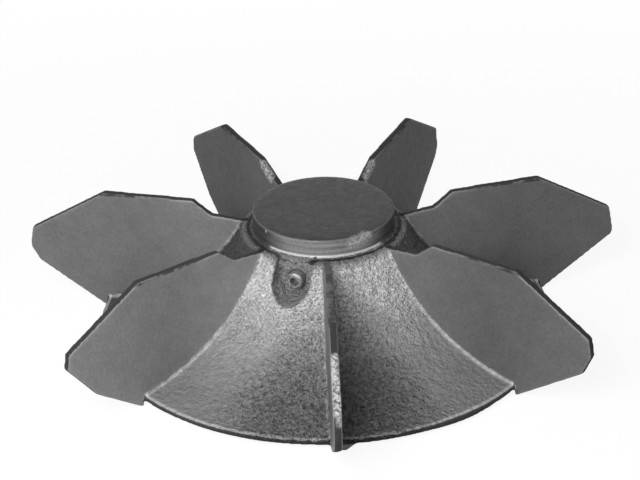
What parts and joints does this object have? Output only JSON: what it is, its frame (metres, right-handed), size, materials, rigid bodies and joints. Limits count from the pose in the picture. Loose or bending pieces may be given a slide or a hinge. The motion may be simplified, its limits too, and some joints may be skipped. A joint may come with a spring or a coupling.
{
  "type": "open radial-vane fan impeller",
  "caption": "Cast iron fan impeller with flat radial vanes on a concave conical disc, a closed hub with a blind keyed bore, and a set screw.",
  "frame": {"origin": "centre of the shaft bore's mouth, on the hub's rear face", "axes": "+Z along the shaft's axis towards the hub's closed top, one vane along -Y"},
  "size_m": [0.4399, 0.4257, 0.096],
  "materials": {
    "cast_iron": "as cast, dark grey, with ground edges",
    "steel": "dull, oiled"
  },
  "bodies": {
    "root": {"impeller": "cast_iron", "set_screw": "steel"}
  },
  "joints": []
}
